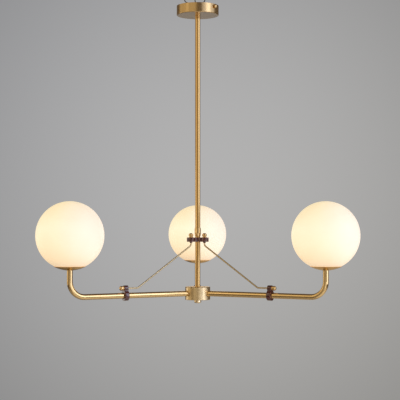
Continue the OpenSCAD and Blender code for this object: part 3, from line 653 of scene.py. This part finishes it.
def make_nuts():
    for name, place in (
            ("yoke", dict(reach=YOKE_ROD_R, z=YOKE_Z + YOKE_T / 2)),
            ("clip", dict(reach=CLIP_REACH + CLIP_T / 2, z=ARM_Z + ROD_RISE, outward=True))):
        bm = bmesh.new()
        for azimuth in ARM_AZIMUTHS.values():
            turned(bm, nut_profile(), spun(azimuth, **place))
        add_piece(f"{name}_domed_nuts", bm, TURNED_BRASS, "fixture", "polished_brass",
                  f"{name}_nuts")


def make_collars():
    bore, edge = ROD_R + THREAD_GAP, COLLAR_EDGE
    profile = [(bore, COLLAR_H), (COLLAR_R, COLLAR_H), (COLLAR_R, edge)]
    for angle in map(math.radians, (30, 60, 90)):
        profile.append((COLLAR_R - edge + edge * math.cos(angle), edge - edge * math.sin(angle)))
    profile += [(bore, 0), (bore, COLLAR_H)]
    bm = bmesh.new()
    for azimuth in ARM_AZIMUTHS.values():
        turned(bm, profile, spun(azimuth, YOKE_ROD_R, YOKE_Z - YOKE_T / 2 - COLLAR_H), sides=48)
    bmesh.ops.remove_doubles(bm, verts=bm.verts, dist=WELD)
    add_piece("rod_rounded_collars", bm, ROSEWOOD, "fixture", "rosewood", "rod_collars")


def grub_profile(length):
    """Grub screw from its tip to its socket end, and down into a socket with a conical floor."""
    chamfer, socket_r, socket_depth, cone = 0.35 * MM, 1.1 * MM, 1.8 * MM, 0.3 * MM
    return [(0, 0), (SET_SCREW_R - chamfer, 0), (SET_SCREW_R, chamfer),
            (SET_SCREW_R, length - chamfer), (SET_SCREW_R - chamfer, length),
            (socket_r, length), (socket_r, length - socket_depth),
            (0, length - socket_depth - cone)]


def make_set_screws():
    profile = grub_profile(YOKE_WAIST_R - STEM_R - 2 * SET_SCREW_GAP)
    waist_azimuth = ARM_AZIMUTHS[1] - 60
    bm = bmesh.new()
    turned(bm, profile, spun(waist_azimuth, STEM_R + SET_SCREW_GAP, YOKE_Z, outward=True),
           sides=48)
    add_piece("yoke_grub_screw", bm, ZINC, "fixture", "steel", "yoke_set_screw")
    profile = grub_profile(CLIP_ARM_WALL - 2 * SET_SCREW_GAP)
    bm = bmesh.new()
    for azimuth in ARM_AZIMUTHS.values():
        place = spun(azimuth, CLIP_REACH, ARM_Z - ARM_R - SET_SCREW_GAP)
        turned(bm, profile, place @ UPSIDE_DOWN, sides=48)
    add_piece("clip_grub_screws", bm, ZINC, "fixture", "steel", "clip_set_screws")


make_yoke()
for i, a in ARM_AZIMUTHS.items():
    make_clip(i, a)
make_nuts()
make_collars()
make_set_screws()


# ---- Stem, canopy screws and finial ----

def make_coupler():
    """Sleeve with a bore for the stem and a side that swells like a barrel."""
    bore, end_r, half_steps = STEM_R + THREAD_GAP, COUPLER_END_R - COUPLER_EDGE, 12
    arc_r = (COUPLER_HALF ** 2 + COUPLER_SWELL ** 2) / (2 * COUPLER_SWELL)
    profile = [(bore, -COUPLER_HALF), (end_r, -COUPLER_HALF)]
    for k in range(2 * half_steps + 1):
        z = (COUPLER_HALF - COUPLER_EDGE) * (k / half_steps - 1)
        profile.append((COUPLER_END_R + COUPLER_SWELL - arc_r + math.sqrt(arc_r ** 2 - z ** 2), z))
    profile += [(end_r, COUPLER_HALF), (bore, COUPLER_HALF), (bore, -COUPLER_HALF)]
    bm = bmesh.new()
    turned(bm, profile, spun(z=JOINT_Z))
    bmesh.ops.remove_doubles(bm, verts=bm.verts, dist=WELD)
    add_piece("stem_barrel_sleeve", bm, TURNED_BRASS, "fixture", "polished_brass", "stem_coupler")


def make_side_screw(side, azimuth):
    """Thumb screw: a plain shank, a knurled head and a rounded end."""
    tip_chamfer, head_edge, step, band_steps = 0.5 * MM, 0.4 * MM, 0.5 * MM, 4
    head_start = CANOPY_R + SIDE_HEAD_GAP
    head_end = head_start + SIDE_HEAD_L
    band_start, band_end = head_start + 0.9 * MM, head_end - 2.2 * MM
    profile = [(0, SIDE_SCREW_TIP_R), (SIDE_SCREW_R - tip_chamfer, SIDE_SCREW_TIP_R),
               (SIDE_SCREW_R, SIDE_SCREW_TIP_R + tip_chamfer), (SIDE_SCREW_R, head_start),
               (SIDE_HEAD_R - step - head_edge, head_start),
               (SIDE_HEAD_R - step, head_start + head_edge)]
    profile += [(SIDE_HEAD_R, band_start + (band_end - band_start) * k / band_steps, True)
                for k in range(band_steps + 1)]
    profile.append((SIDE_HEAD_R - head_edge, band_end + step / 2))
    profile += dome(SIDE_HEAD_R - 0.45 * MM, band_end + step, head_end)
    bm = bmesh.new()
    turned(bm, profile, spun(azimuth, 0, SIDE_SCREW_Z, outward=True), sides=192)
    add_piece(f"canopy_thumb_screw_{side}", bm, TURNED_BRASS, f"side_screw_{side}",
              "polished_brass", f"canopy_screw_{side}")


def make_finial():
    """Knob below the hub: a short neck, a sharp rim and a rounded end."""
    neck_r, neck_h = FINIAL_R - 1 * MM, 1.1 * MM
    rim_r, rim_z, side_z, dome_z = FINIAL_R - 0.25 * MM, 1.2 * MM, 1.45 * MM, 5.2 * MM
    profile = [(0, 0), (neck_r, 0), (neck_r, neck_h), (rim_r, rim_z), (FINIAL_R, side_z)]
    bm = bmesh.new()
    turned(bm, profile + dome(FINIAL_R, dome_z, FINIAL_H, 12), spun(z=HUB_BOTTOM_Z) @ UPSIDE_DOWN)
    add_piece("finial_knob", bm, KNOB_BRASS, "fixture", "polished_brass", "finial")


make_coupler()
make_side_screw("right", SIDE_SCREW_AZIMUTH)
make_side_screw("left", SIDE_SCREW_AZIMUTH + 180)
make_finial()


# ---- Bulbs ----

def make_bulb(i, azimuth):
    """Capsule bulb: a ceramic foot with a groove above it, the frosted glass and two pins."""
    place = spun(azimuth, ARM_REACH, GLOBE_Z + BULB_Z)
    edge = 0.5 * MM
    groove_r = BULB_R - BULB_GROOVE_DEPTH
    glass_z = BULB_BASE_L + BULB_GROOVE_H
    bm = bmesh.new()
    turned(bm, [(0, 0), (BULB_R - edge, 0), (BULB_R, edge), (BULB_R, BULB_BASE_L - edge),
                (BULB_R - edge, BULB_BASE_L), (groove_r, BULB_BASE_L), (groove_r, glass_z),
                (0, glass_z)], place)
    add_piece(f"bulb_foot_{i}", bm, CERAMIC, f"bulb_{i}", "holder_ceramic", f"bulb_{i}")
    bm = bmesh.new()
    turned(bm, [(0, glass_z), (BULB_R - edge, glass_z), (BULB_R, glass_z + edge)]
           + dome(BULB_R, BULB_L - BULB_R, BULB_L), place)
    add_piece(f"bulb_capsule_{i}", bm, CAPSULE, f"bulb_{i}", "bulb_capsule", f"bulb_{i}")
    bm = bmesh.new()
    for y in (-PIN_PITCH / 2, PIN_PITCH / 2):
        turned(bm, [(0, -PIN_SUNK), (PIN_R, -PIN_SUNK)] + dome(PIN_R, PIN_L - PIN_R, PIN_L, 6),
               place @ Matrix.Translation((0, y, 0)) @ UPSIDE_DOWN, sides=32)
    add_piece(f"bulb_pins_{i}", bm, ZINC, f"bulb_{i}", "steel", f"bulb_{i}")


for i, a in ARM_AZIMUTHS.items():
    make_bulb(i, a)


# ---- Studio ----

BACKDROP_AXIS = Vector((0.0165, 1, 0.039)).normalized()
BACKDROP_FALLOFF = 20
BACKDROP_RIM = (0.126, 0.126, 0.126)
BACKDROP_CENTRE = (0.44, 0.44, 0.44)
TINT_AXIS = (1, 0, -0.9)
TINT_COOL = (0.991, 0.993, 1.016)
TINT_WARM = (1.025, 1.006, 0.970)
ROOM_LIGHT = (0.13, 0.10, 0.07)
ROOM_SEEN = (0.36, 0.36, 0.355)


def make_world():
    """Grey backdrop behind the lamp, bright in its middle, and a dim room on the other sides."""
    world = bpy.data.worlds.new("studio")
    SCENE.world = world
    world.use_nodes = True
    tree = world.node_tree
    tree.nodes.clear()
    around = coordinate(tree, "Generated")
    facing = dot(tree, around, BACKDROP_AXIS)
    falloff = maths(tree, "POWER", maths(tree, "MAXIMUM", facing, 0), BACKDROP_FALLOFF)
    glow = mix(tree, falloff, BACKDROP_RIM, BACKDROP_CENTRE)
    warmth = map_range(tree, dot(tree, around, TINT_AXIS), -0.3, 0.3)
    tint = mix(tree, warmth, TINT_COOL, TINT_WARM)
    backdrop = mix(tree, 1.0, glow, tint, "MULTIPLY")
    away = map_range(tree, facing, 0.95, 0.85)
    rays = node(tree, "ShaderNodeLightPath")
    room = mix(tree, rays.outputs["Is Camera Ray"], ROOM_LIGHT, ROOM_SEEN)
    background = node(tree, "ShaderNodeBackground")
    tree.links.new(mix(tree, away, backdrop, room), background.inputs["Color"])
    output = node(tree, "ShaderNodeOutputWorld")
    tree.links.new(background.outputs[0], output.inputs["Surface"])


LIGHT_TARGET = Vector((0, 0, -0.45))
SOFTBOXES = {  # azimuth, elevation, distance, width, height, radiance, colour
    "key_right": (63, 13.5, 2.4, 3.5, 2.8, 0.72, (0.94, 0.99, 1.16)),
    "key_core": (60, 13.5, 2.3, 0.95, 2.7, 1.3, (0.94, 0.99, 1.16)),
    "key_low": (22, -20, 2.4, 1.1, 0.9, 0.85, (0.98, 1, 1.05)),
    "fill_left": (-86, 16, 2.2, 2.4, 2.9, 0.49, (1, 0.82, 0.52)),
    "fill_front": (-35, 23, 2.4, 2.4, 2.4, 0.48, (1, 0.84, 0.55)),
    "rim_left": (-118, -6, 2.3, 0.6, 0.9, 1.3, (1, 0.95, 0.88)),
    "bounce_front": (-8, -17, 2.4, 3.0, 1.0, 0.32, (1, 0.88, 0.68)),
    "bounce_below": (40, -55, 1.6, 2.2, 1.5, 0.34, (1, 0.88, 0.66)),
    "bounce_back": (150, -42, 2.0, 2.4, 1.7, 0.28, (1, 0.86, 0.60)),
}


def softbox(name, azimuth, elevation, distance, width, height, radiance, colour):
    """Panel lit evenly, at an azimuth to the right of the camera's side, facing the lamp."""
    light = bpy.data.lights.new(name, "AREA")
    light.shape = "RECTANGLE"
    light.size, light.size_y = width, height
    light.energy = radiance * math.pi * width * height
    light.color = colour
    lamp = bpy.data.objects.new(name, light)
    SCENE.collection.objects.link(lamp)
    a, e = math.radians(azimuth), math.radians(elevation)
    away = Vector((math.sin(a) * math.cos(e), -math.cos(a) * math.cos(e), math.sin(e)))
    lamp.location = LIGHT_TARGET + away * distance
    lamp.rotation_euler = away.to_track_quat("Z", "Y").to_euler()
    lamp.visible_camera = False


FLOOR_R = 5.2
FLOOR_Z = -2.1
FLOOR_RINGS = 12
FLOOR_FADE = (2.6, 5.1)
FLOOR_SEEN = (0.23, 0.23, 0.225)


def pale_floor():
    """Pale matt floor, brighter to the camera, faded out at its rim and clear from below."""
    mat, tree, bsdf = new_material("floor_pale")
    flat = node(tree, "ShaderNodeVectorMath", operation="MULTIPLY")
    flat.inputs[1].default_value = (1, 1, 0)
    tree.links.new(coordinate(tree, "Object"), flat.inputs[0])
    reach = node(tree, "ShaderNodeVectorMath", operation="LENGTH")
    tree.links.new(flat.outputs["Vector"], reach.inputs[0])
    seen_from = node(tree, "ShaderNodeNewGeometry")
    faded = map_range(tree, reach.outputs["Value"], *FLOOR_FADE)
    clear = maths(tree, "MAXIMUM", seen_from.outputs["Backfacing"], faded)
    tree.links.new(map_range(tree, clear, 0, 1, 1, 0), bsdf.inputs["Alpha"])
    grain = noise(tree, object_coords(tree), scale=30, detail=4)
    tone = ramp(tree, grain, [(0.3, (0.78, 0.78, 0.77)), (0.7, (0.84, 0.84, 0.83))])
    tree.links.new(tone, bsdf.inputs["Base Color"])
    bsdf.inputs["Roughness"].default_value = 0.8
    rays = node(tree, "ShaderNodeLightPath")
    glow = mix(tree, rays.outputs["Is Camera Ray"], (0, 0, 0), FLOOR_SEEN)
    tree.links.new(glow, bsdf.inputs["Emission Color"])
    bsdf.inputs["Emission Strength"].default_value = 1
    return mat


def make_floor():
    """Round floor well below the lamp, its faces up."""
    bm = bmesh.new()
    turned(bm, [(FLOOR_R * k / FLOOR_RINGS, FLOOR_Z) for k in range(FLOOR_RINGS + 1)])
    for face in bm.faces:
        face.normal_update()
        if face.normal.z < 0:
            face.normal_flip()
    mesh = bpy.data.meshes.new("floor")
    bm.to_mesh(mesh)
    bm.free()
    mesh.materials.append(pale_floor())
    floor = bpy.data.objects.new("floor", mesh)
    SCENE.collection.objects.link(floor)


make_world()
for name, values in SOFTBOXES.items():
    softbox(name, *values)
make_floor()

SCENE.view_settings.view_transform = "Standard"
